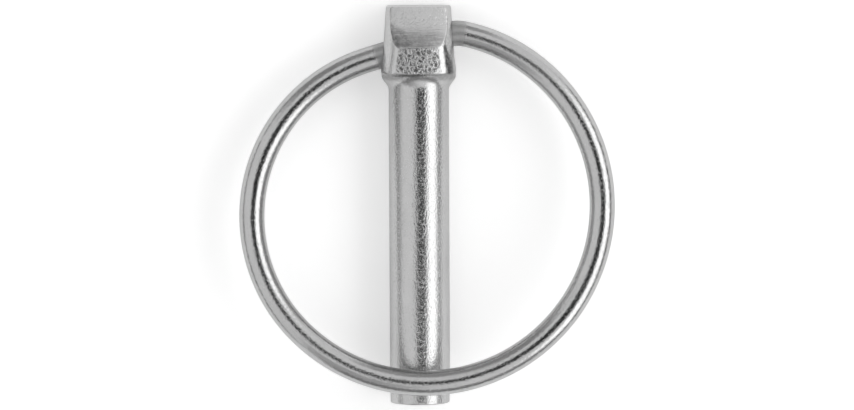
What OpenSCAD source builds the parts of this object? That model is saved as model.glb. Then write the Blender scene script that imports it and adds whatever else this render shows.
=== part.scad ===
// Lynch pin: a forged pin with a faceted head, and a sprung wire ring whose
// two ends turn in blind holes in the sides of the head.
// The pin lies on its back along Y, with its head towards +Y. The floor is
// under it, at -Z, and the closed ring crosses in front of the shank, at +Z.
// The origin is on the shank's axis, where its full diameter starts.

/* [Shank] */
// Diameter of the shank
shank_d = 10; // [8:0.5:14]
// Length of the shank at its full diameter
shank_len = 45; // [36:1:70]
// How much smaller the point's diameter is at its end than the shank's
point_taper = 0.14; // [0.1:0.02:0.6]
// Radius that rounds the end of the point
point_edge_r = 0.6; // [0.3:0.1:1.5]
// Length of the point that shows past the closed ring
point_show = 1.4; // [1:0.1:6]

/* [Head] */
// Length of the head, from its top to the start of the shank's full diameter
head_len = 14.15; // [13.3:0.05:18]
// How far each side of the heel stands out from the shank
heel_out = 1.27; // [1:0.01:1.8]
// How far each side stands out where its straight taper starts
waist_out = 0.95; // [0.7:0.01:1.2]
// Height of that place above the start of the shank
waist_y = 5.6; // [4.8:0.1:6]
// How far each side stands out at the top
crown_out = 0.4; // [0.1:0.05:0.8]
// How far the nose stands out in front of the shank
nose_out = 1.5; // [1.1:0.1:3]
// Height of the nose's lip above the start of the shank
nose_y = 7.1; // [6.5:0.1:9]
// Thickness of the head at its top, from back to front
crown_t = 7.95; // [6:0.05:10]
// Radius of the hollowed front face above the lip
scoop_r = 29; // [15:1:80]
// Radius of the slightly domed front below the lip
front_r = 20; // [12:1:60]
// Radius of the front corners
front_corner_r = 2.6; // [1.5:0.1:3.5]
// Radius of the back corners
back_corner_r = 1.2; // [0.5:0.1:2]
// Width that the slanted facets take off the front corners beside the lip
facet_w = 2; // [1:0.1:3.5]
// How far those facets turn from the front towards the sides, in degrees
facet_turn = 54; // [45:1:60]
// Lean of those facets from the upright, in degrees
facet_lean = 10; // [5:1:25]
// Radius of the hollow where the shank grows into the head
root_r = 2.1; // [1.5:0.1:2.6]
// Radius that rounds the lower edge of the heel
heel_r = 2.2; // [1.5:0.1:2.6]
// Radius that rounds the upper corners of the outline
crown_edge_r = 0.5; // [0.2:0.1:1]

/* [Ring] */
// Diameter of the wire
wire_d = 4.2; // [3:0.1:4.6]
// Height of the middle of the hinge line above the start of the shank
hinge_y = 7.85; // [7.4:0.05:8.4]
// How much higher the hole on the right is than the one on the left
hole_rise = 3.58; // [1:0.02:4]
// Depth of the wire's ends in the head
peg_len = 4.5; // [3:0.1:5]
// Radius of the bend where the wire turns out of the right hole
bend_r = 5; // [4:0.5:8]
// How far inside the hole's mouth that bend starts
bend_in = 0.75; // [0.2:0.05:1]
// How far past the shank's full diameter the wire crosses it
ring_past = 1.15; // [0.6:0.05:4]
// How far right of the shank's axis the ring's centre lies
ring_side = 1; // [0:0.1:2]
// How much larger the far arc's radius is than that of a plain circle
ring_flatten = 0.95; // [0.4:0.05:2]
// Angle below the level of the ring's centre where the left arc starts
left_turn = 27; // [15:1:50]
// Angle above that level where the right arc starts
right_turn = 26; // [15:1:45]

/* [Fits] */
// Radial clearance of the wire in its holes
hinge_fit = 0.08; // [0.03:0.01:0.1]
// Clearance past the end of the wire in each hole
peg_gap = 0.4; // [0.2:0.1:0.8]
// Depth of the flared mouth of each hole
mouth_depth = 0.5; // [0.4:0.1:1.5]
// Half the angle of that flare, in degrees
mouth_angle = 25; // [20:1:40]
// Gap between the closed ring and the shank
ring_gap = 0.15; // [0.1:0.05:0.5]

/* [Hidden] */
$fn = 96;

reach = 60; // size of the cutting blocks
hair = 0.02; // how much thinner an inner run of the wire is
lap = 0.1; // how far an inner run reaches into its neighbours
shank_r = shank_d / 2;
wire_r = wire_d / 2;
bore_r = wire_r + hinge_fit;

// Head: heights along Y, half widths along X and depths along Z
sole_y = root_r * sin(45);
heel_y = sole_y + heel_r * sin(45);
root_out = root_r * (1 - cos(45));
back_z = -shank_r;
nose_z = shank_r + nose_out;
crown_z = back_z + crown_t;
heel_x = shank_r + heel_out;
waist_x = shank_r + waist_out;
crown_x = shank_r + crown_out;
side_slope = (waist_out - crown_out) / (head_len - waist_y);
function side_x(y) = waist_x - side_slope * (y - waist_y);

// Hinge line: it rises from the left hole to the right one
hinge_x = side_x(hinge_y);
hinge_angle = atan(hole_rise / (2 * hinge_x));
left_mouth = hinge_x / (cos(hinge_angle) - side_slope * sin(hinge_angle));
right_mouth = hinge_x / (cos(hinge_angle) + side_slope * sin(hinge_angle));

// Ring, drawn flat: its hinge line is the X axis and its far side is at -Y
ring_reach = hinge_y + shank_len + ring_past + wire_r;
plain_r = (pow(ring_reach, 2) + pow(hinge_x, 2)) / (2 * ring_reach);
far_r = plain_r + ring_flatten;
ring_drop = ring_reach - far_r;
far_c = turned([ring_side, -ring_drop], -hinge_angle);

// The left arc leaves the hinge line as a tangent
left_at = 180 + left_turn;
left_shift = (far_r + far_c.y) / (1 - sin(left_at));
left_r = far_r - left_shift;
left_c = far_c + left_shift * unit(left_at);

// The right arc joins the far arc to the small bend in the right hole
bend_c = [right_mouth - bend_in, -bend_r];
inner_r = far_r - bend_r;
from_bend = far_c - bend_c;
right_shift = (pow(inner_r, 2) - from_bend * from_bend)
    / (2 * (from_bend * unit(right_turn) + inner_r));
right_r = far_r - right_shift;
right_c = far_c + right_shift * unit(right_turn);
bend_at = atan2(bend_c.y - right_c.y, bend_c.x - right_c.x);

// Closed, the ring leans forward until its wire lies on the shank
lean_k = tan(hinge_angle);
lean_a = 1 + lean_k * lean_k;
lean_b = lean_k * far_c.x + far_c.y;
lean_c = far_c * far_c - far_r * far_r;
cross_y = (lean_b - sqrt(lean_b * lean_b - lean_a * lean_c)) / lean_a;
ring_lean = asin((shank_r + wire_r + ring_gap) / -cross_y);

point_len = ring_past + wire_d + point_show;

function unit(angle) = [cos(angle), sin(angle)];
function turned(p, angle) = [
    p.x * cos(angle) - p.y * sin(angle),
    p.x * sin(angle) + p.y * cos(angle)
];

// A corner's waste: what rounding it at radius r takes off a square corner
module corner_waste(r) {
    difference() {
        translate([-r, -r]) square(r + 1);
        translate([-r, -r]) circle(r);
    }
}

// Outline of the head seen from the front
module front_outline() {
    difference() {
        polygon([
            [-heel_x, sole_y], [heel_x, sole_y], [heel_x, heel_y],
            [waist_x, waist_y], [crown_x, head_len],
            [-crown_x, head_len], [-waist_x, waist_y], [-heel_x, heel_y]
        ]);
        for (side = [0, 1]) mirror([side, 0]) {
            heel_waste(heel_x);
            translate([crown_x, head_len]) corner_waste(crown_edge_r);
        }
    }
}

// What rounding the heel's lower edge takes off, at distance x from the axis
module heel_waste(x) {
    translate([x - heel_r, heel_y]) difference() {
        translate([0, -heel_r]) square([heel_r + 1, heel_r]);
        circle(heel_r);
    }
}

// Outline of the head seen from its right, drawn with Z along X
module side_outline() {
    difference() {
        translate([back_z, sole_y]) square([nose_z - back_z, head_len - sole_y]);
        heel_waste(nose_z);
        scoop_outline();
    }
}

// The hollow face: an arc from the lip of the nose back to the top
module scoop_outline() {
    rise = head_len - nose_y;
    fall = nose_z - crown_z;
    chord = sqrt(rise * rise + fall * fall);
    off = sqrt(scoop_r * scoop_r - chord * chord / 4);
    translate([
        (nose_z + crown_z) / 2 + off * rise / chord,
        (nose_y + head_len) / 2 + off * fall / chord
    ]) circle(scoop_r, $fn = 256);
}

// Outline of the head seen from its top, drawn with Z along Y
module plan_outline() {
    intersection() {
        difference() {
            translate([-heel_x, back_z]) square([2 * heel_x, nose_z - back_z]);
            for (side = [0, 1]) mirror([side, 0]) {
                translate([heel_x, nose_z]) corner_waste(front_corner_r);
                translate([heel_x, back_z]) mirror([0, 1]) corner_waste(back_corner_r);
            }
        }
        translate([0, nose_z - front_r]) circle(front_r, $fn = 256);
    }
}

module head_block() {
    intersection() {
        translate([0, 0, -reach / 2]) linear_extrude(reach) front_outline();
        rotate([0, -90, 0]) translate([0, 0, -reach / 2]) linear_extrude(reach) side_outline();
        translate([0, reach / 2, 0]) rotate([90, 0, 0]) linear_extrude(reach) plan_outline();
    }
}

// Slanted facet on the right front corner
module facet_waste() {
    translate([side_x(nose_y) - facet_w, nose_y, nose_z])
        rotate([0, facet_turn, 0]) rotate([-facet_lean, 0, 0])
            translate([-reach / 2, -reach / 2, 0]) cube(reach);
}

// Hollow that leads from the shank to the sole of the head
module root() {
    rotate([-90, 0, 0]) rotate_extrude() difference() {
        square([shank_r + root_out, sole_y + hair]);
        translate([shank_r + root_r, 0]) circle(root_r);
    }
}

// Blind hole with a flared mouth, drilled back along X from the mouth at x
module peg_hole(x) {
    translate([x - peg_len - peg_gap, 0, 0]) rotate([0, 90, 0])
        cylinder(r = bore_r, h = peg_len + peg_gap + wire_d);
    translate([x - mouth_depth, 0, 0]) rotate([0, 90, 0])
        cylinder(
            r1 = bore_r,
            r2 = bore_r + (mouth_depth + wire_d) * tan(mouth_angle),
            h = mouth_depth + wire_d
        );
}

module point() {
    end_r = shank_r - point_taper / 2;
    rotate([90, 0, 0]) {
        cylinder(r1 = shank_r, r2 = end_r, h = point_len - point_edge_r);
        translate([0, 0, point_len - point_edge_r]) rotate_extrude() {
            square([end_r - point_edge_r, point_edge_r]);
            translate([end_r - point_edge_r, 0]) intersection() {
                circle(point_edge_r);
                square(point_edge_r);
            }
        }
    }
}

module pin() {
    color("silver") {
        difference() {
            union() {
                head_block();
                root();
            }
            facet_waste();
            mirror([1, 0, 0]) facet_waste();
            translate([-reach / 2, -reach / 2, back_z - reach]) cube(reach);
            translate([0, hinge_y, 0]) rotate([0, 0, hinge_angle]) {
                peg_hole(right_mouth);
                mirror([1, 0, 0]) peg_hole(left_mouth);
            }
        }
        rotate([90, 0, 0]) cylinder(r = shank_r, h = shank_len);
        translate([0, -shank_len, 0]) point();
    }
}

// Run of the wire along an arc. An inner run is a hair thinner and reaches a
// little way into its neighbours, so that the runs join into one solid.
module wire_arc(centre, radius, from, to, inner = false) {
    more = inner ? lap / radius * 180 / PI : 0;
    translate([centre.x, centre.y, 0]) rotate([0, 0, from - more])
        rotate_extrude(angle = to - from + 2 * more)
            translate([radius, 0]) circle(inner ? wire_r - hair : wire_r, $fn = 48);
}

// Straight run of the wire along the hinge line, towards +X
module wire_run(from, to, inner = false) {
    translate([from, 0, 0]) rotate([0, 90, 0]) cylinder(
        r = inner ? wire_r - hair : wire_r,
        h = to - from + (inner ? lap : 0),
        $fn = 48
    );
}

module ring() {
    color("lightgray")
        translate([0, hinge_y, 0]) rotate([0, 0, hinge_angle]) rotate([-ring_lean, 0, 0]) {
            wire_run(left_c.x, peg_len - left_mouth);
            wire_arc(left_c, left_r, 90, left_at, inner = true);
            wire_arc(far_c, far_r, left_at, 360 + right_turn);
            wire_arc(right_c, right_r, right_turn, bend_at, inner = true);
            wire_arc(bend_c, bend_r, bend_at, 90);
            wire_run(right_mouth - peg_len, bend_c.x, inner = true);
        }
}

pin();
ring();
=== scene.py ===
"""Looks of a lynch pin: a forged, zinc-plated pin and the sprung wire ring hinged in its head.

The pin lies on its back along Y, its head towards +Y and its front up, at +Z. The sizes in the
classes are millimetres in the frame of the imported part, whose origin is on the shank's axis where
its full diameter starts. Meshes are made in those millimetres and scaled once, when an object is
made from them.
"""

import logging
import math
from collections.abc import Callable
from dataclasses import dataclass
from enum import Enum

import bpy
import numpy as np
from mathutils import Matrix, Vector

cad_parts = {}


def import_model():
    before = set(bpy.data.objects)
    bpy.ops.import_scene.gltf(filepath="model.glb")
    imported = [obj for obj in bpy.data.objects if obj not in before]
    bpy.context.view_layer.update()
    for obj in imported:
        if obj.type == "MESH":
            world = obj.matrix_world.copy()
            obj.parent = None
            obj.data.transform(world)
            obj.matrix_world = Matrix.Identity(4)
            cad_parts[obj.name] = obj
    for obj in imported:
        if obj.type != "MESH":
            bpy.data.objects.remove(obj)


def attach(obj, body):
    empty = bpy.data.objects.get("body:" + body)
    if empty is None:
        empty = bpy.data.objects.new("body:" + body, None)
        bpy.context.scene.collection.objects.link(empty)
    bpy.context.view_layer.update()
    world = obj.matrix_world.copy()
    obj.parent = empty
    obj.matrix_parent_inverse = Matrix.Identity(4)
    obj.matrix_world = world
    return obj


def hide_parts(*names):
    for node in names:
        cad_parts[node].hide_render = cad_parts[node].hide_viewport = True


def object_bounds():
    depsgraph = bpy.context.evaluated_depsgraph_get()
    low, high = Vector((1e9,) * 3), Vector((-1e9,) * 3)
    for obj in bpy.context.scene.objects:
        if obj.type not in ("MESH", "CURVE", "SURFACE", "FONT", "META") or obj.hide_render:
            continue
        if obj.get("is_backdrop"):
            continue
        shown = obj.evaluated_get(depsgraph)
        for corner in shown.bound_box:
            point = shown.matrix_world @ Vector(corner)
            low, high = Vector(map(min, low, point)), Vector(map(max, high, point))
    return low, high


log = logging.getLogger("lynch_pin")

MM = 0.001  # metres in a millimetre

MIX_FACTOR, MIX_FROM, MIX_TO, MIX_RESULT = 0, 6, 7, 2  # a Mix node's sockets for colours

Piece = bpy.types.Object
Socket = bpy.types.NodeSocket
Array = np.ndarray
Pair = tuple[float, float]
Triple = tuple[float, float, float]
Stops = tuple[Pair, ...]  # a ramp's (place, grey) pairs, in rising order


class Grain(Enum):
    """What a finish's texture follows."""

    FORGING = "the piece's own millimetres, with its length along Y"
    WIRE = "the wire, with its length along Y however it is bent"


class Value:
    """A number socket of a shader, for use in arithmetic expressions."""

    def __init__(self, bench: "NodeBench", socket: Socket) -> None:
        """Wraps the output of a node that is on the bench."""
        self.bench = bench
        self.socket = socket

    def _with(self, operation: str, *terms: "Value | float") -> "Value":
        """Adds a Math node.

        Args:
            operation: The Math node's operation.
            terms: Its inputs, in order.

        Returns:
            The node's result.
        """
        inputs = dict(enumerate(terms))
        made = self.bench.node("ShaderNodeMath", {"operation": operation}, inputs)
        return Value(self.bench, made.outputs[0])

    def __add__(self, other: "Value | float") -> "Value":
        """Value plus other."""
        return self._with("ADD", self, other)

    def __sub__(self, other: "Value | float") -> "Value":
        """Value minus other."""
        return self._with("SUBTRACT", self, other)

    def __rsub__(self, other: float) -> "Value":
        """Other minus value."""
        return self._with("SUBTRACT", other, self)

    def __mul__(self, other: "Value | float") -> "Value":
        """Value times other."""
        return self._with("MULTIPLY", self, other)

    def __rmul__(self, other: float) -> "Value":
        """Other times value."""
        return self._with("MULTIPLY", other, self)

    def highest(self, other: "Value | float") -> "Value":
        """The higher of value and other."""
        return self._with("MAXIMUM", self, other)


class NodeBench:
    """A place to lay out the nodes of one material or world."""

    def __init__(self, owner: bpy.types.Material | bpy.types.World) -> None:
        """Clears the owner's node tree.

        Args:
            owner: The material or world whose nodes are laid out.
        """
        owner.use_nodes = True
        self.tree = owner.node_tree
        self.tree.nodes.clear()

    def node(
        self,
        kind: str,
        settings: dict[str, object] | None = None,
        inputs: dict[str | int, object] | None = None,
    ) -> bpy.types.Node:
        """Adds a node.

        Args:
            kind: The node's type.
            settings: Its properties, and under "stops" a ramp's (place, grey) pairs.
            inputs: Numbers, vectors, sockets or Values for its inputs.

        Returns:
            The node.
        """
        made = self.tree.nodes.new(kind)
        for name, setting in (settings or {}).items():
            if name == "stops":
                self._set_stops(made.color_ramp, setting)
            else:
                setattr(made, name, setting)
        for name, given in (inputs or {}).items():
            source = given.socket if isinstance(given, Value) else given
            if isinstance(source, Socket):
                self.tree.links.new(source, made.inputs[name])
            else:
                made.inputs[name].default_value = source
        return made

    @staticmethod
    def _set_stops(ramp: bpy.types.ColorRamp, stops: Stops) -> None:
        """Gives a ramp its stops.

        Args:
            ramp: The ramp.
            stops: Its (place, grey) pairs.
        """
        while len(ramp.elements) < len(stops):
            ramp.elements.new(1.0)
        for element, (place, grey) in zip(ramp.elements, stops):
            element.position = place
            element.color = (grey, grey, grey, 1.0)

    def value(self, socket: Socket) -> Value:
        """The socket as a Value."""
        return Value(self, socket)

    def grey(self, level: float) -> tuple[float, float, float, float]:
        """A neutral colour of that level."""
        return (level, level, level, 1.0)

    def ramp(self, source: Value, stops: Stops) -> Value:
        """The value, mapped through a ramp with those stops."""
        made = self.node("ShaderNodeValToRGB", {"stops": stops}, {0: source})
        return self.value(made.outputs[0])

    def stretched(self, coordinates: Socket, x: float, y: float, z: float) -> Socket:
        """Scales coordinates by a factor for each axis."""
        factors = {0: coordinates, 1: (x, y, z)}
        return self.node("ShaderNodeVectorMath", {"operation": "MULTIPLY"}, factors).outputs[0]

    def noise(
        self,
        coordinates: Socket,
        detail: float = 2.0,
        roughness: float = 0.5,
        warp: float = 0.0,
    ) -> Value:
        """Adds noise whose lumps are about one unit of the coordinates across.

        Args:
            coordinates: Where the noise is read.
            detail: How many finer octaves it has.
            roughness: How strong those are.
            warp: How much it is distorted.

        Returns:
            The noise, around 0.5.
        """
        inputs = {
            "Vector": coordinates,
            "Scale": 1.0,
            "Detail": detail,
            "Roughness": roughness,
            "Distortion": warp,
        }
        made = self.node("ShaderNodeTexNoise", {"noise_dimensions": "3D"}, inputs)
        return self.value(made.outputs[0])

    def attribute(self, name: str) -> bpy.types.Node:
        """Adds a node that reads one of the mesh's attributes."""
        settings = {"attribute_type": "GEOMETRY", "attribute_name": name}
        return self.node("ShaderNodeAttribute", settings)


@dataclass(frozen=True)
class ZincPlating:
    """Bright zinc plating over steel: a grey metal broken up by fine lumps and pits.

    Sizes and rises, which are heights of the relief, are millimetres. A texture's (x, y, z)
    says how many of its lumps there are to a millimetre. What a mark adds to the dark tone
    or to the roughness is a share from 0 to 1.
    """

    name: str
    grain: Grain
    grey: float = 0.52
    clean_share: float = 1.06
    dark_share: float = 0.26
    edge_tint: float = 0.8
    roughness: float = 0.2
    lump_size: float = 0.32
    lump_length: float = 1.5
    lump_rise: float = 0.024
    plateaus: Stops = ((0.3, 0.0), (0.44, 0.55), (0.58, 0.8), (0.72, 1.0))
    wave_size: float = 2.2
    wave_rise: float = 0.01
    streaks: Triple = (0.22, 7.0, 1.0)
    streak_rise: float = 0.0
    streak_calm: float = 0.75
    scale_size: float = 0.5
    scale_squeeze: float = 0.65
    scale_rise: float = 0.0
    # scale_dark and between_dark paint the scale's cells dark between lighter ridges: a painted
    # dark reflection over the scale's own relief
    scale_dark: Stops = ((0.4, 0.3), (0.52, 0.0))
    cell_size: float = 0.68
    cell_squeeze: float = 0.7
    cell_bend: float = 1.1
    bends: float = 1.6
    ridge_edge: Stops = ((0.03, 1.0), (0.2, 0.0))
    ridge_rise: float = 0.0
    between_dark: float = 0.64
    struck_dull: float = 0.07
    # the next three: a mottle that breaks up the painted shade, and how far all painted darkening
    # goes towards the dark tone
    shade_mottle: Triple = (1.6, 1.2, 1.6)
    shade_mottle_stops: Stops = ((0.4, 0.5), (0.6, 1.0))
    painted_dark: float = 0.9
    dull_and_shade_share: float = 0.25
    clouds: Triple = (0.35, 0.2, 0.35)
    cloud_dark: float = 0.2
    specks: Triple = (4.0, 2.6, 4.0)
    pit_edge: Stops = ((0.3, 1.0), (0.42, 0.0))
    pit_dark: float = 0.14
    fleck_dull: float = 0.1

    def coordinates(self, bench: NodeBench) -> Socket:
        """Finds the millimetres that the texture follows.

        Args:
            bench: The bench to lay the nodes on.

        Returns:
            The coordinates.
        """
        if self.grain is Grain.WIRE:
            return bench.attribute(WireRing.ALONG).outputs["Vector"]
        place = bench.node("ShaderNodeTexCoord").outputs["Object"]
        return bench.stretched(place, 1 / MM, 1 / MM, 1 / MM)

    def relief(self, bench: NodeBench, place: Socket) -> Value:
        """Height of the surface's lumps, pits and waves.

        Args:
            bench: The bench to lay the nodes on.
            place: Millimetre coordinates.

        Returns:
            The height in millimetres.
        """
        across = 1 / self.lump_size
        along = across / self.lump_length
        stretched = bench.stretched(place, across, along, across)
        lumps = bench.noise(stretched, detail=2.5, roughness=0.6, warp=0.15)
        wave = 1 / self.wave_size
        waves = bench.noise(bench.stretched(place, wave, 0.5 * wave, wave))
        return bench.ramp(lumps, self.plateaus) * self.lump_rise + waves * self.wave_rise

    def ridges(self, bench: NodeBench, place: Socket) -> Value:
        """Thin ridges round the uneven cells of the forging's scale.

        Args:
            bench: The bench to lay the nodes on.
            place: Millimetre coordinates.

        Returns:
            1 on the ridges and 0 between them.
        """
        fine = 1 / self.cell_size
        noise = {"Vector": place, "Scale": self.bends}
        bent = bench.node("ShaderNodeTexNoise", {"noise_dimensions": "3D"}, noise)
        terms = {0: bent.outputs["Color"], 1: (self.cell_bend,) * 3, 2: place}
        shifted = bench.node("ShaderNodeVectorMath", {"operation": "MULTIPLY_ADD"}, terms)
        squeezed = bench.stretched(shifted.outputs[0], fine, self.cell_squeeze * fine, fine)
        cells = {"Vector": squeezed, "Scale": 1.0}
        edges = bench.node("ShaderNodeTexVoronoi", {"feature": "DISTANCE_TO_EDGE"}, cells)
        return bench.ramp(bench.value(edges.outputs["Distance"]), self.ridge_edge)

    def forged(
        self, bench: NodeBench, place: Socket, height: Value
    ) -> tuple[Value, Value, Value]:
        """Adds what forging left, streaks and scale, and the painted shade and painted dark
        reflection on the head.

        Args:
            bench: The bench to lay the nodes on.
            place: Millimetre coordinates.
            height: The plating's own relief.

        Returns:
            The relief, how dark the marks are and how dull.
        """
        hollow, struck, burnt = (
            bench.value(bench.attribute(name).outputs["Fac"])
            for name in (ForgedPin.HOLLOW, ForgedPin.SCALE_AND_SHADE, ForgedPin.PAINTED_SHADE)
        )
        drawn = bench.stretched(place, *self.streaks)
        streaks = bench.noise(drawn, detail=3.0, roughness=0.65)
        fine = 1 / self.scale_size
        squeezed = bench.stretched(place, fine, self.scale_squeeze * fine, fine)
        scales = bench.noise(squeezed, detail=1.5, warp=1.2)
        ridges = self.ridges(bench, place) * struck
        height = height * (1 - self.streak_calm * hollow)
        height = height + streaks * hollow * self.streak_rise
        height = height + (scales - 0.5) * struck * self.scale_rise
        height = height + ridges * self.ridge_rise
        # painted shade: the colour darkened under the heel, beside the right facet and low in the
        # hollow, broken up by a mottle
        shade_mottle = bench.noise(bench.stretched(place, *self.shade_mottle), detail=3.0, roughness=0.7)
        dark = burnt * bench.ramp(shade_mottle, self.shade_mottle_stops)
        # painted dark reflection: the scale's cells darkened, its ridges left lighter
        dark = dark + struck * bench.ramp(scales, self.scale_dark)
        dark = dark + (struck - ridges) * self.between_dark
        return height, dark, struck * self.struck_dull

    def material(self) -> bpy.types.Material:
        """Lays out the finish.

        Returns:
            The material.
        """
        made = bpy.data.materials.new(self.name)
        bench = NodeBench(made)
        place = self.coordinates(bench)
        height = self.relief(bench, place)
        if self.grain is Grain.WIRE:
            # painted shade where the wire enters the head, which is also rougher there
            worn = bench.value(bench.attribute(WireRing.DULL_AND_SHADED).outputs["Fac"])
            dark = dull = worn * self.dull_and_shade_share
        else:
            height, dark, dull = self.forged(bench, place, height)
        relief = {"Strength": 1.0, "Distance": MM, "Height": height}
        bump = bench.node("ShaderNodeBump", {}, relief)
        clouds = bench.noise(bench.stretched(place, *self.clouds), detail=3.0)
        specks = bench.noise(bench.stretched(place, *self.specks), roughness=0.6)
        pits = bench.ramp(specks, self.pit_edge)
        flecks_dark = clouds * self.cloud_dark + pits * self.pit_dark
        flecks_dull = (clouds + pits) * self.fleck_dull
        smooth = self.roughness - self.fleck_dull / 2
        # dark carries the painted shade and painted dark reflection; the flecks are the metal's own
        # random tone
        tones = {
            MIX_FACTOR: flecks_dark + dark * self.painted_dark,
            MIX_FROM: bench.grey(self.grey * self.clean_share),
            MIX_TO: bench.grey(self.grey * self.dark_share),
        }
        shade = bench.node("ShaderNodeMix", {"data_type": "RGBA"}, tones)
        metal = {
            "Metallic": 1.0,
            "Base Color": shade.outputs[MIX_RESULT],
            "Roughness": flecks_dull + dull + smooth,
            "Specular Tint": bench.grey(self.edge_tint),
            "Normal": bump.outputs[0],
        }
        surface = bench.node("ShaderNodeBsdfPrincipled", {}, metal)
        bench.node("ShaderNodeOutputMaterial", {}, {0: surface.outputs[0]})
        return made


def rounded_max(a: Array, b: Array, radius: Array | float) -> Array:
    """Signed distance to where two solids overlap, from theirs, with the edge rounded."""
    corner = np.hypot(np.maximum(a + radius, 0), np.maximum(b + radius, 0))
    return np.minimum(-radius, np.maximum(a, b)) + corner


def eased(start: float, end: float, place: Array) -> Array:
    """Rises smoothly from 0 at start to 1 at end."""
    t = np.clip((place - start) / (end - start), 0, 1)
    return t * t * (3 - 2 * t)


def unit(degrees: float) -> Array:
    """The point of the unit circle at an angle."""
    return np.array([math.cos(math.radians(degrees)), math.sin(math.radians(degrees))])


def stations(*legs: Triple) -> Array:
    """Places along a line.

    Args:
        legs: (start, end, step) of each leg; a leg starts where the last one ends.

    Returns:
        The places, each once.
    """
    runs = [
        np.linspace(start, end, max(1, round(abs(end - start) / step)), endpoint=False)
        for start, end, step in legs
    ]
    return np.append(np.concatenate(runs), legs[-1][1])


def skin(rows: Array, first_end: Vector, last_end: Vector) -> tuple[list, list]:
    """Joins rings of points into a closed skin.

    Args:
        rows: Points in millimetres, as rows of rings of (x, y, z).
        first_end: The point that closes the first ring.
        last_end: The point that closes the last ring.

    Returns:
        The skin's points and its faces.
    """
    count, around = rows.shape[:2]
    points = [tuple(p) for p in (*rows.reshape(-1, 3), first_end, last_end)]
    total, last = count * around, (count - 1) * around
    faces = []
    for i in range(around):
        j = (i + 1) % around
        faces.append((total, j, i))
        for low in range(0, last, around):
            high = low + around
            faces.append((low + i, low + j, high + j, high + i))
        faces.append((total + 1, last + i, last + j))
    return points, faces


def new_object(name: str, data: bpy.types.ID) -> Piece:
    """Makes an object.

    Args:
        name: Its name.
        data: Its mesh, light or camera.

    Returns:
        The object, in the scene.
    """
    made = bpy.data.objects.new(name, data)
    bpy.context.scene.collection.objects.link(made)
    return made


def new_piece(name: str, points: list, faces: list) -> Piece:
    """Makes a smooth object.

    Args:
        name: The object's name.
        points: Its points in millimetres.
        faces: Its faces.

    Returns:
        The object, in the scene.
    """
    mesh = bpy.data.meshes.new(name)
    mesh.from_pydata(points, [], faces)
    mesh.transform(Matrix.Scale(MM, 4))
    mesh.shade_smooth()
    mesh.validate()
    return new_object(name, mesh)


def write_attribute(piece: Piece, name: str, numbers: Array) -> None:
    """Keeps a number or a vector on each of a mesh's points.

    Args:
        piece: The object.
        name: The attribute's name.
        numbers: The numbers or vectors, point by point.
    """
    kind, key = ("FLOAT", "value") if numbers.ndim == 1 else ("FLOAT_VECTOR", "vector")
    attribute = piece.data.attributes.new(name, kind, "POINT")
    attribute.data.foreach_set(key, np.ascontiguousarray(numbers, np.float32).ravel())


@dataclass
class Hinge:
    """The line through the mouths of the head's two holes, which the ring turns on."""

    height: float = 7.85
    rise: float = 3.58
    half_width: float = 5.805
    side_slope: float = 0.0643
    peg_length: float = 4.5
    wire_radius: float = 2.1

    @property
    def angle(self) -> float:
        """The line's slope in radians, rising towards +X."""
        return math.atan(self.rise / (2 * self.half_width))

    def mouth(self, side: int) -> float:
        """How far along the line the mouth lies: side is -1 for the left, 1 for the right."""
        lean = side * self.side_slope * math.sin(self.angle)
        return self.half_width / (math.cos(self.angle) + lean)

    def frame(self) -> Matrix:
        """The hinge line's frame, with X along it, in millimetres."""
        turn = Matrix.Rotation(self.angle, 4, "Z")
        return Matrix.Translation((0, self.height, 0)) @ turn


HEAD_REACH = 12.0  # no point of the head is farther from its axis
RING_HALVINGS = 34  # how often a ring's radii are halved in on
CREASE_HALVINGS = 24  # how often a crease's angle is halved in on
POINT_RINGS = 9  # rings round the point's edge
CAP_RINGS = (0.9, 0.6, 0.3)  # shares of its radius where a flat end has rings


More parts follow.
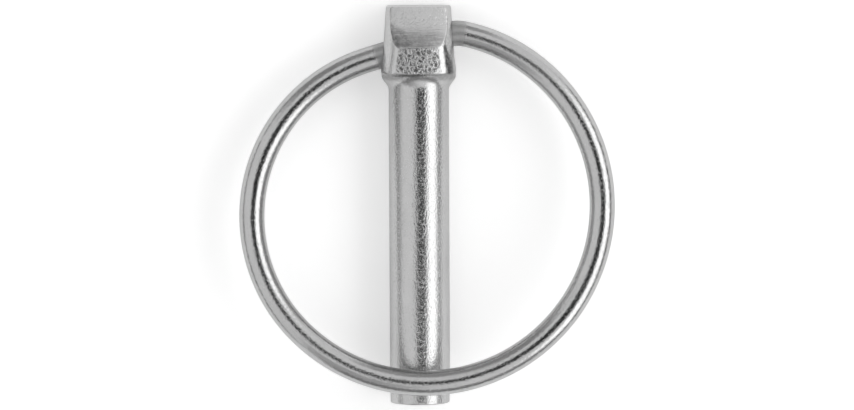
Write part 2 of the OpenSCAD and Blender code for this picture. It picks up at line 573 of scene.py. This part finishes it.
@dataclass
class ForgedPin:
    """The forging: a faceted head, a round shank and its short point.

    Its heights are along Y, and how far out a place is along Z.
    """

    HOLLOW = "hollow"
    # the scaly patch: real relief and roughness, and a painted dark reflection in its colour
    SCALE_AND_SHADE = "struck"
    # painted shade and painted dark reflection, kept for each point for the finish
    PAINTED_SHADE = "burnt"

    hinge: Hinge
    # shank and point
    shank_radius: float = 5.0
    shank_end: float = -45.0
    point_end: float = -51.75
    point_radius: float = 4.93
    point_edge: float = 0.25
    # the head's outline
    head_top: float = 14.15
    heel_height: float = 3.2
    heel_half_width: float = 6.27
    waist_height: float = 5.6
    waist_half_width: float = 5.95
    # its nose and its hollow face
    nose_out: float = 6.5
    dome_radius: float = 20.0
    dome_centre: Pair = (-1.75, 4.0)  # across, up
    lip_height: float = 7.1
    crown_out: float = 2.95
    scoop_radius: float = 29.0
    # its corners and slanted facets
    front_corner: float = 2.6
    back_corner: float = 1.2
    facet_turn: float = 53.7
    facet_lean: float = 9.8
    facet_reach: Pair = (8.08, 8.06)  # left, right
    facet_edge: Pair = (0.7, 0.5)  # left, right
    # the hollow face's edges and how it bulges across
    scoop_edge: float = 0.08
    scoop_crisp: float = 0.01
    scoop_end: float = 0.05
    scoop_runs: Triple = (0.4, 0.5, 0.1)  # above the lip, below the top, at the top
    lip_sag: Pair = (1.5, 0.76)  # the bulge's run above the lip, and its share there
    crown_sag: float = 0.6
    crown_edge: float = 0.35
    # the holes
    bore_play: float = 0.08
    bore_past: float = 0.4
    drill_out: float = 2.0
    flare_depth: float = 0.5
    flare_angle: float = 25.0
    # the swell under the heel, and the heel's edge rounded by wear
    swell_start: float = 0.3
    swell_end: float = 0.6
    swell_power: float = 2.6
    swell_lip: Pair = (0.16, 0.2)  # run, rise
    swell_front: Pair = (1.6, 1.1)
    heel_round: float = 0.45
    heel_drop: float = 0.09
    heel_ledge: float = 0.8
    # the mesh
    sharp_angle: float = 28.0
    sides: int = 288
    bore_sides: int = 96

    def side_line(self, height: Array) -> Array:
        """Half the head's width, before its edges are rounded.

        Args:
            height: Heights.

        Returns:
            The half width at each.
        """
        up, waist = height - self.waist_height, self.waist_half_width
        flare = (self.heel_half_width - waist) / (self.waist_height - self.heel_height)
        return np.maximum(waist - self.hinge.side_slope * up, waist - flare * up)

    def scoop_centre(self) -> Pair:
        """Finds the axis that the hollow face curves round.

        Returns:
            Its height and depth.
        """
        rise = self.head_top - self.lip_height
        fall = self.nose_out - self.crown_out
        chord = math.hypot(rise, fall)
        off = math.sqrt(self.scoop_radius**2 - chord**2 / 4)
        return (
            (self.lip_height + self.head_top) / 2 + off * fall / chord,
            (self.nose_out + self.crown_out) / 2 + off * rise / chord,
        )

    def head_distance(self, x: Array, y: Array, z: Array) -> Array:
        """Signed distance to the head's skin above the heel.

        Args:
            x: Places across the head.
            y: Heights.
            z: Depths, towards the front.

        Returns:
            Negative inside the head, positive outside it.
        """
        beside = np.abs(x) - self.side_line(y)
        dome_x, dome_y = self.dome_centre
        sag = ((x - dome_x) ** 2 + (y - dome_y) ** 2) / (2 * self.dome_radius)
        block = rounded_max(beside, z - self.nose_out + sag, self.front_corner)
        block = rounded_max(block, -self.shank_radius - z, self.back_corner)
        ahead, beyond = unit(self.facet_turn)
        level, rising = unit(self.facet_lean)
        reach = np.where(x < 0, *self.facet_reach)
        edge = np.where(x < 0, *self.facet_edge)
        facet = level * (beyond * np.abs(x) + ahead * z) + rising * y - reach
        block = rounded_max(block, facet, edge)
        block = rounded_max(block, y - self.head_top, self.crown_edge)
        lip, top = self.lip_height, self.head_top
        start, stop, last = self.scoop_runs
        edge = np.interp(
            y,
            [lip, lip + start, top - stop, top - last],
            [self.scoop_edge, self.scoop_crisp, self.scoop_crisp, self.scoop_end],
        )
        return rounded_max(block, self.scoop_distance(x, y, z), edge)

    def facet_radius(self, side: int, turn: float, height: float) -> float:
        """How far from the shank's axis a facet's plane is.

        Args:
            side: -1 for the left facet, 1 for the right one.
            turn: The angle from the front, in radians.
            height: The height.

        Returns:
            The distance.
        """
        ahead, beyond = unit(self.facet_turn)
        level, rising = unit(self.facet_lean)
        reach = (self.facet_reach[side > 0] - rising * height) / level
        return reach / (beyond * math.sin(turn) + ahead * math.cos(turn))

    def crease(self, side: int, height: float) -> float:
        """Finds where a facet meets the hollow face.

        Args:
            side: -1 for the left facet, 1 for the right one.
            height: The height; below the lip the line goes straight down.

        Returns:
            Its angle from the front, in radians.
        """
        level = np.array(max(height, self.lip_height))
        near, far = 0.0, math.pi / 2
        for _ in range(CREASE_HALVINGS):
            middle = (near + far) / 2
            out = self.facet_radius(side, middle, level)
            x, z = side * out * math.sin(middle), out * math.cos(middle)
            if self.scoop_distance(x, level, z) > 0:
                near = middle
            else:
                far = middle
        return near

    def turns(self, height: float) -> Array:
        """The angles of a ring's points, two of which lie on the creases.

        Args:
            height: The ring's height.

        Returns:
            The angles from the front, in radians.
        """
        whole = 2 * math.pi
        even = np.linspace(0, whole, self.sides, endpoint=False)
        kept = even[self.sides // 8]
        right, left = self.crease(1, height), whole - self.crease(-1, height)
        evenly = [0, kept, whole / 2, whole - kept, whole]
        return np.interp(even, evenly, [0, right, whole / 2, left, whole])

    def scoop_distance(self, x: Array, y: Array, z: Array) -> Array:
        """Signed distance to the hollow face, which bulges across less towards the top.

        Args:
            x: Places across the head.
            y: Heights.
            z: Depths, towards the front.

        Returns:
            Negative behind the face, positive in front of it.
        """
        scoop_y, scoop_z = self.scoop_centre()
        lip = self.lip_height
        run, least = self.lip_sag
        share = np.interp(y, [lip, lip + run, self.head_top], [1, least, self.crown_sag])
        sag = share * (x - self.dome_centre[0]) ** 2 / (2 * self.dome_radius)
        return self.scoop_radius - np.hypot(y - scoop_y, z + sag - scoop_z)

    def head_ring(self, turns: Array, height: float) -> Array:
        """How far the head reaches from the axis at one height, its heel's edge rounded by wear.

        Args:
            turns: Angles from the front, in radians.
            height: The height, from the heel up.

        Returns:
            The radii at those angles.
        """
        near, far = np.zeros_like(turns), np.full_like(turns, HEAD_REACH)
        across, ahead = np.sin(turns), np.cos(turns)
        level = np.full_like(turns, height)
        for _ in range(RING_HALVINGS):
            middle = (near + far) / 2
            inside = self.head_distance(middle * across, level, middle * ahead) < 0
            near, far = np.where(inside, middle, near), np.where(inside, far, middle)
        wear = max(1 - (height - self.heel_height) / self.heel_round, 0.0) ** 2
        stands_out = np.clip((near - self.shank_radius) / self.heel_ledge, 0, 1)
        return near - self.heel_drop * wear * stands_out

    def heel_swell(self, turns: Array, height: float) -> Array:
        """How much of the way from the shank to the heel the skin is, from 0 to 1.

        The swell ends in an edge under the front and is rounded over at the sides.

        Args:
            turns: Angles from the front, in radians.
            height: The height, up to the heel's.

        Returns:
            The share at those angles.
        """
        start, heel = self.swell_start, self.heel_height
        rounded = eased(start, heel - self.swell_end, np.array(height))
        climb = (height - start) / (heel - start)
        run, rise = self.swell_lip
        near = min((1 - climb) / run, 1.0)
        edged = max(climb, 0.0) ** self.swell_power + rise * near * (1 - near) ** 2
        off_front = np.abs((turns + math.pi) % (2 * math.pi) - math.pi)
        front = eased(*self.swell_front, off_front)
        return rounded + (edged - rounded) * front

    def rings(self) -> Array:
        """The skin's rings, from the point to the top of the head.

        Returns:
            Their points in millimetres, a row for each height.
        """
        rows = []

        def add(height: float, radii: Array | float, turns: Array) -> None:
            """Adds the ring of a height."""
            ring = [radii * np.sin(turns), np.full_like(turns, height), radii * np.cos(turns)]
            rows.append(np.stack(ring, 1))

        heel, lip, top = self.heel_height, self.lip_height, self.head_top
        low = self.turns(lip)
        edge = self.point_edge
        for turn in np.linspace(0, 90, POINT_RINGS):
            down, out = unit(turn)
            height = self.point_end + edge - edge * down
            add(height, self.point_radius - edge + edge * out, low)
        ends = [self.point_end, self.shank_end]
        for height in stations(
            (self.point_end + edge + 0.4, self.shank_end, 0.8),
            (self.shank_end, -1.0, 1.2),
            (-1.0, -0.2, 0.4),
        ):
            add(height, np.interp(height, ends, [self.point_radius, self.shank_radius]), low)
        widest = self.head_ring(low, heel)
        for height in stations((0.0, heel - 0.6, 0.16), (heel - 0.6, heel, 0.05))[:-1]:
            swell = self.heel_swell(low, height)
            add(height, self.shank_radius + (widest - self.shank_radius) * swell, low)
        for height in stations(
            (heel, heel + 0.5, 0.05),
            (heel + 0.5, lip - 0.15, 0.14),
            (lip - 0.15, lip + 1.2, 0.05),
            (lip + 1.2, top - 0.55, 0.09),
            (top - 0.55, top - 0.002, 0.03),
        ):
            turns = self.turns(height)
            add(height, self.head_ring(turns, height), turns)
        return np.array(rows)

    def blank(self) -> Piece:
        """Makes the forging before its holes are drilled.

        Returns:
            The object.
        """
        rows = self.rings()
        foot, crown = rows[0].copy(), rows[-1].copy()
        centre = np.array([0.0, self.head_top, (self.crown_out - self.shank_radius) / 2])
        tops = [centre + (crown - centre) * (k, 1, k) for k in CAP_RINGS]
        feet = [foot * (k, 1, k) for k in reversed(CAP_RINGS)]
        rows = np.concatenate([np.array(feet), rows, np.array(tops)])
        points, faces = skin(rows, Vector((0, self.point_end, 0)), Vector(centre))
        return new_piece("forged_pin", points, faces)

    def drill(self, side: int) -> Piece:
        """Makes the tool that drills and flares one hole.

        Args:
            side: -1 for the left hole, 1 for the right one.

        Returns:
            The tool.
        """
        bore = self.hinge.wire_radius + self.bore_play
        mouth = self.hinge.mouth(side)
        depth = mouth - self.hinge.peg_length - self.bore_past
        outside = mouth + self.drill_out
        flare_start = mouth - self.flare_depth
        flare = math.tan(math.radians(self.flare_angle))
        profile = [
            (depth, bore / 2),
            (depth, bore),
            (flare_start, bore),
            (outside, bore + (outside - flare_start) * flare),
        ]
        turns = np.linspace(0, 2 * math.pi, self.bore_sides, endpoint=False)
        rows = [
            [(side * x, r * math.cos(t), side * r * math.sin(t)) for t in turns]
            for x, r in profile
        ]
        ends = [Vector((side * x, 0, 0)) for x in (depth, outside)]
        points, faces = skin(np.array(rows)[:, ::-1], *ends)
        tool = new_piece(f"drill_{side}", points, faces)
        frame = self.hinge.frame()
        frame.translation *= MM
        tool.data.transform(frame)
        return tool

    def build(self) -> Piece:
        """Makes the whole pin.

        Returns:
            The object.
        """
        pin = self.blank()
        tools = [self.drill(side) for side in (-1, 1)]
        for tool in tools:
            cut = pin.modifiers.new("hole", "BOOLEAN")
            cut.operation = "DIFFERENCE"
            cut.solver = "EXACT"
            cut.object = tool
        apply_modifiers(pin)
        for tool in tools:
            bpy.data.objects.remove(tool)
        pin.data.set_sharp_from_angle(angle=math.radians(self.sharp_angle))
        places = np.array([v.co for v in pin.data.vertices]) / MM
        marks = ForgeMarks(self, *places.T)
        for name, marked in (
            (self.HOLLOW, marks.hollow()),
            (self.SCALE_AND_SHADE, marks.struck()),
            (self.PAINTED_SHADE, marks.burnt()),
        ):
            write_attribute(pin, name, marked)
        return pin


@dataclass(frozen=True)
class ShadeStroke:
    """A dark stroke of painted shade on the front of the head."""

    start: Pair
    end: Pair
    width: float
    strength: float
    in_hollow: bool = False
    core: float = 0.3

    def marks(self, x: Array, y: Array) -> Array:
        """How dark the line is.

        Args:
            x: Places across the head.
            y: Heights.

        Returns:
            Its strength at those places.
        """
        along = np.array(self.end) - self.start
        off_x, off_y = x - self.start[0], y - self.start[1]
        share = np.clip((off_x * along[0] + off_y * along[1]) / (along @ along), 0, 1)
        off = np.hypot(off_x - share * along[0], off_y - share * along[1])
        return self.strength * eased(self.width, self.core * self.width, off)


@dataclass
class ForgeMarks:
    """Where the head is marked, by forging and with painted shade: its marks have a number from 0
    up for each point.

    Points are x across the head, y up it and z towards its front. A run is the two places,
    or heights, between which a mark rises from nothing to its full strength.
    """

    pin: ForgedPin
    x: Array
    y: Array
    z: Array
    skin_run: Pair = (0.1, 0.02)
    streaks_start: float = 0.6
    streaks_fade: Pair = (2.2, 2.6)  # below the top, above the lip
    heel_streaks: float = 0.8
    heel_runs: tuple[Pair, ...] = ((0.9, 1.6), (3.6, 3.3))
    patch_half: Pair = (3.55, 2.15)
    patch_power: float = 2.6
    patch_run: Pair = (1.2, 0.85)
    # painted shade under the heel, darker towards its sides
    under_runs: tuple[Pair, ...] = ((1.7, 2.4), (3.3, 3.1))
    under_dark: Pair = (0.15, 0.5)  # in the middle, added at the sides
    under_sides: Pair = (1.5, 4.0)
    # painted shade: a dark reflection beside the right facet, and shade low in the hollow above the
    # lip
    shade_strokes: tuple[ShadeStroke, ...] = (
        ShadeStroke((4.35, 7.7), (4.5, 6.7), 0.4, 1.3),
        ShadeStroke((4.5, 6.7), (4.95, 5.0), 0.62, 1.3),
        ShadeStroke((4.95, 5.0), (5.25, 3.3), 0.8, 1.4),
        ShadeStroke((-4.7, 10.6), (-3.6, 7.8), 1.2, 0.8, in_hollow=True),
        ShadeStroke((-4.2, 9.6), (-2.0, 8.6), 2.0, 0.65, in_hollow=True),
        ShadeStroke((-4.0, 8.5), (2.5, 8.3), 2.5, 0.4, in_hollow=True),
    )

    def front(self) -> Array:
        """Whether each point is in the front half."""
        return self.z > 0

    def on_hollow(self) -> Array:
        """1 on the hollow face, and 0 off it."""
        return eased(*self.skin_run, np.abs(self.pin.scoop_distance(self.x, self.y, self.z)))

    def between(self, runs: tuple[Pair, ...]) -> Array:
        """1 between two heights, fading to 0 over the run at each."""
        return eased(*runs[0], self.y) * eased(*runs[1], self.y)

    def hollow(self) -> Array:
        """Marks the hollow face and the heel's underside, smooth but streaked.

        Returns:
            The mark.
        """
        lip, (fall, rise) = self.pin.lip_height, self.streaks_fade
        starts = eased(lip, lip + self.streaks_start, self.y)
        fades = eased(self.pin.head_top - fall, lip + rise, self.y)
        under_heel = self.between(self.heel_runs) * self.front()
        return np.maximum(self.on_hollow() * starts * fades, self.heel_streaks * under_heel)

    def struck(self) -> Array:
        """Marks the scaly patch on the nose, below its lip, whose colour also carries a painted
        dark reflection.

        Returns:
            The mark.
        """
        middle = (self.pin.lip_height + self.pin.heel_height) / 2
        across, up = self.patch_half
        power = self.patch_power
        off = (np.abs(self.x) / across) ** power + (np.abs(self.y - middle) / up) ** power
        return eased(*self.patch_run, off) * self.front()

    def burnt(self) -> Array:
        """Marks painted shade: under the heel, by the right facet and in the hollow.

        Returns:
            The mark.
        """
        middle, sides = self.under_dark
        at_sides = sides * eased(*self.under_sides, np.abs(self.x))
        burnt = self.between(self.under_runs) * (middle + at_sides)
        for shade_stroke in self.shade_strokes:
            where = self.on_hollow() if shade_stroke.in_hollow else 1.0
            burnt = np.maximum(burnt, where * shade_stroke.marks(self.x, self.y))
        return burnt * self.front()


def facing(away: Vector, up: Vector) -> Matrix:
    """A turn that takes Z to one direction, and keeps Y as near as it can be to another.

    Args:
        away: Where Z points.
        up: What Y keeps to.

    Returns:
        The rotation.
    """
    back = away.normalized()
    right = up.cross(back).normalized()
    return Matrix((right, back.cross(right), back)).transposed().to_4x4()


def apply_modifiers(piece: Piece) -> None:
    """Makes a piece's modifiers part of its mesh.

    Args:
        piece: The object.
    """
    seen = piece.evaluated_get(bpy.context.evaluated_depsgraph_get())
    made = bpy.data.meshes.new_from_object(seen)
    piece.modifiers.clear()
    piece.data = made


@dataclass
class WireRing:
    """The sprung wire, bent into an almost round ring whose ends turn in the head."""

    ALONG = "along_wire"
    DULL_AND_SHADED = "worn"

    hinge: Hinge
    shank_radius: float = 5.0
    shank_length: float = 45.0
    past: float = 1.15
    side: float = 1.0
    flatten: float = 0.95
    bend_radius: float = 5.0
    bend_inside: float = 0.75
    left_turn: float = 27.0
    right_turn: float = 26.0
    gap: float = 0.15
    end_edge: float = 0.35
    # near the head the wire is rougher and painted darker: painted shade where it enters the holes
    dull_and_shade_run: Pair = (1.5, 0.6)
    dull_and_shade_right: float = 0.9
    sharp_angle: float = 50.0
    sides: int = 64
    step: float = 0.4

    def arcs(self) -> list[tuple[Array, float, float, float]]:
        """The ring's arcs, drawn flat with the hinge line along X.

        Returns:
            Centre, radius, start and end angle of each arc, in the wire's order.
        """
        wire = self.hinge.wire_radius
        reach = self.hinge.height + self.shank_length + self.past + wire
        plain = (reach**2 + self.hinge.half_width**2) / (2 * reach)
        far = plain + self.flatten
        turn = unit(-math.degrees(self.hinge.angle))
        drop = far - reach
        far_centre = np.array(
            [self.side * turn[0] - drop * turn[1], self.side * turn[1] + drop * turn[0]]
        )
        left_at = 180 + self.left_turn
        left_shift = (far + far_centre[1]) / (1 - unit(left_at)[1])
        left_centre = far_centre + left_shift * unit(left_at)
        bend_centre = np.array([self.hinge.mouth(1) - self.bend_inside, -self.bend_radius])
        inner = far - self.bend_radius
        away = far_centre - bend_centre
        right_shift = (inner**2 - away @ away) / 2 / (away @ unit(self.right_turn) + inner)
        right_centre = far_centre + right_shift * unit(self.right_turn)
        between = bend_centre - right_centre
        bend_at = math.degrees(math.atan2(between[1], between[0]))
        return [
            (left_centre, far - left_shift, 90, left_at),
            (far_centre, far, left_at, 360 + self.right_turn),
            (right_centre, far - right_shift, self.right_turn, bend_at),
            (bend_centre, self.bend_radius, bend_at, 90),
        ]

    def lean(self) -> float:
        """How far the closed ring turns forward to lie on the shank.

        Returns:
            The turn, in radians.
        """
        centre, radius = self.arcs()[1][:2]
        slope = math.tan(self.hinge.angle)
        a = 1 + slope * slope
        b = slope * centre[0] + centre[1]
        c = centre @ centre - radius * radius
        crossing = (b - math.sqrt(b * b - a * c)) / a
        rest = self.shank_radius + self.hinge.wire_radius + self.gap
        return math.asin(rest / -crossing)

    def line(self) -> tuple[Array, Array]:
        """The wire's centreline, drawn flat.

        Returns:
            Its points and its outward normals.
        """
        peg = self.hinge.peg_length
        arcs = self.arcs()
        start, end = peg - self.hinge.mouth(-1), self.hinge.mouth(1) - peg
        left = stations((start, arcs[0][0][0], self.step))[:-1]
        right = stations((arcs[-1][0][0], end, self.step))
        points, normals = [(x, 0.0) for x in left], [(0.0, 1.0)] * len(left)
        for centre, radius, first, last in arcs:
            steps = max(4, round(abs(math.radians(last - first)) * radius / self.step))
            for angle in np.linspace(first, last, steps, endpoint=False):
                points.append(centre + radius * unit(angle))
                normals.append(unit(angle))
        points += [(x, 0.0) for x in right]
        normals += [(0.0, 1.0)] * len(right)
        return np.array(points), np.array(normals)

    def build(self) -> Piece:
        """Makes the ring, closed on the shank.

        Returns:
            The object.
        """
        line, normals = self.line()
        turns = np.linspace(0, 2 * math.pi, self.sides, endpoint=False)
        radius = self.hinge.wire_radius
        length = np.append(0, np.cumsum(np.linalg.norm(np.diff(line, axis=0), axis=1)))
        whole, edge = length[-1], self.end_edge
        cut = np.clip(1 - length / edge, 0, 1) + np.clip(1 - (whole - length) / edge, 0, 1)
        shrunk = (radius * (1 - (edge / radius) * cut))[:, None]
        spread, rise = shrunk * np.cos(turns), shrunk * np.sin(turns)
        flat = line[:, None, :] + normals[:, None, :] * spread[:, :, None]
        rows = np.concatenate([flat, rise[:, :, None]], 2)
        points, faces = skin(rows, Vector((*line[0], 0.0)), Vector((*line[-1], 0.0)))
        ring = new_piece("wire_ring", points, faces)
        lengths = np.repeat(length[:, None], self.sides, 1)
        along = np.stack([spread, lengths, rise], 2).reshape(-1, 3)
        along = np.concatenate([along, [(0, 0, 0), (0, whole, 0)]])
        write_attribute(ring, self.ALONG, along)
        # painted shade, with a rougher finish, on the wire near the head
        outside = np.minimum(length, whole - length - self.dull_and_shade_right) - self.hinge.peg_length
        worn = np.append(np.repeat(eased(*self.dull_and_shade_run, outside), self.sides), [1, 1])
        write_attribute(ring, self.DULL_AND_SHADED, worn)
        frame = self.hinge.frame() @ Matrix.Rotation(-self.lean(), 4, "X")
        frame.translation *= MM
        ring.data.transform(frame)
        ring.data.set_sharp_from_angle(angle=math.radians(self.sharp_angle))
        return ring


@dataclass(frozen=True)
class Panel:
    """A flat panel of the studio, in metres, which lies along Y or stands upright."""

    name: str
    centre: Vector
    faces: Vector
    width: float
    height: float
    rounded: bool = False
    round_step: int = 5

    def put_up(self, paint: bpy.types.Material) -> Piece:
        """Makes the panel, with a half circle as its upper end if it is rounded.

        Args:
            paint: Its material.

        Returns:
            The panel.
        """
        half, end = self.width / 2, self.height / 2
        edge = [(-half, -end), (half, -end)]
        if self.rounded:
            turns = range(0, 181, self.round_step)
            edge += [half * unit(turn) + (0, end - half) for turn in turns]
        else:
            edge += [(half, end), (-half, end)]
        mesh = bpy.data.meshes.new(self.name)
        mesh.from_pydata([(x, y, 0) for x, y in edge], [], [range(len(edge))])
        mesh.materials.append(paint)
        made = new_object(self.name, mesh)
        up = Vector((0, 0, 1)) if self.faces.xy.length > 0 else Vector((0, 1, 0))
        made.matrix_world = Matrix.Translation(self.centre) @ facing(self.faces, up)
        made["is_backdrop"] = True
        return made


@dataclass
class Studio:
    """Plain floor, soft lamps and the camera. Its sizes are metres and its turns degrees."""

    floor_height: float
    floor_size: float = 12.0
    floor_grey: float = 0.9
    floor_lift: float = 0.31
    flag_grey: float = 0.02
    flag_centre: Triple = (0.145, 0.085, 0.9)
    flag_size: Pair = (0.66, 0.59)
    card_distance: float = 0.8
    wall_distance: float = 0.6
    lamp_turn: float = 50.0
    camera_distance: float = 1.0
    camera_tilt: float = 4.5
    camera_roll: float = -0.25
    view_width: float = 0.1416
    view_end: float = 20.0
    aim: Triple = (0.00128, -0.01888, 0.0)

    def seen(self, bench: NodeBench) -> Value:
        """Tells rays that see a surface from those that carry its light.

        Args:
            bench: The bench to lay the nodes on.

        Returns:
            1 on camera, glossy and transmitted rays, and 0 on the others.
        """
        path = bench.node("ShaderNodeLightPath")
        camera, glossy, through = (
            bench.value(path.outputs[f"Is {ray} Ray"])
            for ray in ("Camera", "Glossy", "Transmission")
        )
        return camera.highest(glossy).highest(through)

    def paint(self, name: str, grey: float, lift: float = 0.0) -> bpy.types.Material:
        """Mixes a matt paint.

        Args:
            name: Its name.
            grey: How much light it sends back.
            lift: How much lighter it looks than that.

        Returns:
            The material.
        """
        made = bpy.data.materials.new(name)
        bench = NodeBench(made)
        coat = bench.node("ShaderNodeBsdfDiffuse", {}, {"Color": bench.grey(grey)})
        if lift:
            level = self.seen(bench) * lift
            glow = bench.node("ShaderNodeEmission", {}, {"Strength": level})
            both = {0: coat.outputs[0], 1: glow.outputs[0]}
            coat = bench.node("ShaderNodeAddShader", {}, both)
        bench.node("ShaderNodeOutputMaterial", {}, {0: coat.outputs[0]})
        return made

    def floor(self) -> None:
        """Lays the pale floor under the part."""
        paint = self.paint("pale_floor", self.floor_grey, self.floor_lift)
        middle, up = Vector((0, 0, self.floor_height)), Vector((0, 0, 1))
        Panel("floor", middle, up, self.floor_size, self.floor_size).put_up(paint)

    def world(self) -> None:
        """Fills the room with even white light."""
        made = bpy.data.worlds.new("room")
        bench = NodeBench(made)
        glow = bench.node("ShaderNodeBackground", {}, {"Color": bench.grey(1.0)})
        bench.node("ShaderNodeOutputWorld", {}, {0: glow.outputs[0]})
        bpy.context.scene.world = made

    def card(self, grey: float, panel: Panel) -> None:
        """Puts up a panel as a matt card that only the metal sees."""
        panel.put_up(self.paint(panel.name, grey)).visible_camera = False

    def cards(self) -> None:
        """Puts a dark flag beside the camera, and cards and low walls round the part."""
        centre, down = Vector(self.flag_centre), Vector((0, 0, -1))
        flag = Panel("flag", centre, down, *self.flag_size, rounded=True)
        self.card(self.flag_grey, flag)
        for name, grey, turn, rise, width, height in (
            ("head_card", 0.42, 124, 31, 0.28, 0.5),
            ("foot_card", 0.66, 240, 38, 0.42, 0.72),
        ):
            level, rising = unit(rise)
            along, across = unit(turn)
            centre = self.card_distance * Vector((level * along, level * across, rising))
            self.card(grey, Panel(name, centre, -centre, width, height))
        away = self.wall_distance
        for name, grey, x, y, width, height in (
            ("head_wall", 0.5, -0.25, away, 0.9, 0.42),
            ("foot_wall", 0.38, 0.15, -away, 1.1, 0.34),
            ("left_wall", 0.48, -away, 0.0, 1.2, 0.16),
            ("right_wall", 0.34, away, 0.0, 1.2, 0.16),
        ):
            faces = Vector((-x, 0, 0)) if y == 0 else Vector((0, -y, 0))
            centre = Vector((x, y, self.floor_height + height / 2))
            self.card(grey, Panel(name, centre, faces, width, height))

    def lamps(self) -> None:
        """Hangs the key lamp on the right, with a longer and weaker one behind it.

        A level of 1 makes a lamp's face white. Its ends are where it starts and stops on Y.
        """
        turned, upright = unit(90 - self.lamp_turn)
        for name, level, distance, width, ends in (
            ("key", 1.0, 0.9, 0.53, (-0.75, 0.6)),
            ("spill", 0.25, 1.0, 0.59, (-1.6, 0.85)),
        ):
            away = Vector((turned, 0, upright)) * distance
            data = bpy.data.lights.new(name, "AREA")
            data.shape = "RECTANGLE"
            length = ends[1] - ends[0]
            data.size = width
            data.size_y = length
            data.energy = level * math.pi * width * length
            made = new_object(name, data)
            place = Matrix.Translation(away + Vector((0, sum(ends) / 2, 0)))
            made.matrix_world = place @ facing(away, Vector((0, 1, 0)))
            made.visible_camera = False

    def camera(self) -> None:
        """Sets up the camera above the part."""
        data = bpy.data.cameras.new("camera")
        data.sensor_fit = "HORIZONTAL"
        data.lens = data.sensor_width * self.camera_distance / self.view_width
        data.clip_end = self.view_end
        made = new_object("camera", data)
        tilt = math.radians(self.camera_tilt)
        away = Vector((0, math.sin(tilt), math.cos(tilt)))
        place = Matrix.Translation(Vector(self.aim) + away * self.camera_distance)
        roll = Matrix.Rotation(math.radians(self.camera_roll), 4, "Z")
        made.matrix_world = place @ facing(away, Vector((0, 1, 0))) @ roll
        bpy.context.scene.camera = made

    def build(self) -> None:
        """Sets up the whole studio."""
        self.floor()
        self.world()
        self.cards()
        self.lamps()
        self.camera()
        bpy.context.scene.view_settings.view_transform = "Standard"


@dataclass
class Dressing:
    """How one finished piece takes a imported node's place."""

    build: Callable[[], Piece]
    node: str
    body: str
    slot: str
    finish: ZincPlating

    def put_on(self) -> None:
        """Builds the piece, finishes it and lets it stand for its node."""
        piece = self.build()
        piece.data.materials.clear()
        piece.data.materials.append(self.finish.material())
        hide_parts(self.node)
        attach(piece, self.body)
        count = len(piece.data.polygons)
        log.info("%s stands for %s, with %d faces", piece.name, self.node, count)


def main() -> None:
    """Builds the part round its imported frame, then the studio."""
    logging.basicConfig(level=logging.INFO, format="%(name)s: %(message)s")
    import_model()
    cad_box = [list(corner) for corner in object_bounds()]
    hinge = Hinge()
    on_pin = ZincPlating(
        "zinc_on_forging",
        Grain.FORGING,
        lump_rise=0.028,
        streak_rise=0.03,
        scale_rise=0.06,
        ridge_rise=0.038,
    )
    on_wire = ZincPlating(
        "zinc_on_wire", Grain.WIRE, grey=0.485, roughness=0.18, lump_size=0.3, lump_rise=0.016
    )
    for dressing in (
        Dressing(ForgedPin(hinge).build, "pin", "pin_body", "plated_pin", on_pin),
        Dressing(WireRing(hinge).build, "ring", "ring_body", "plated_wire", on_wire),
    ):
        dressing.put_on()
    Studio(floor_height=cad_box[0][2]).build()
    log.info("studio is up")


if __name__ == "__main__":
    main()
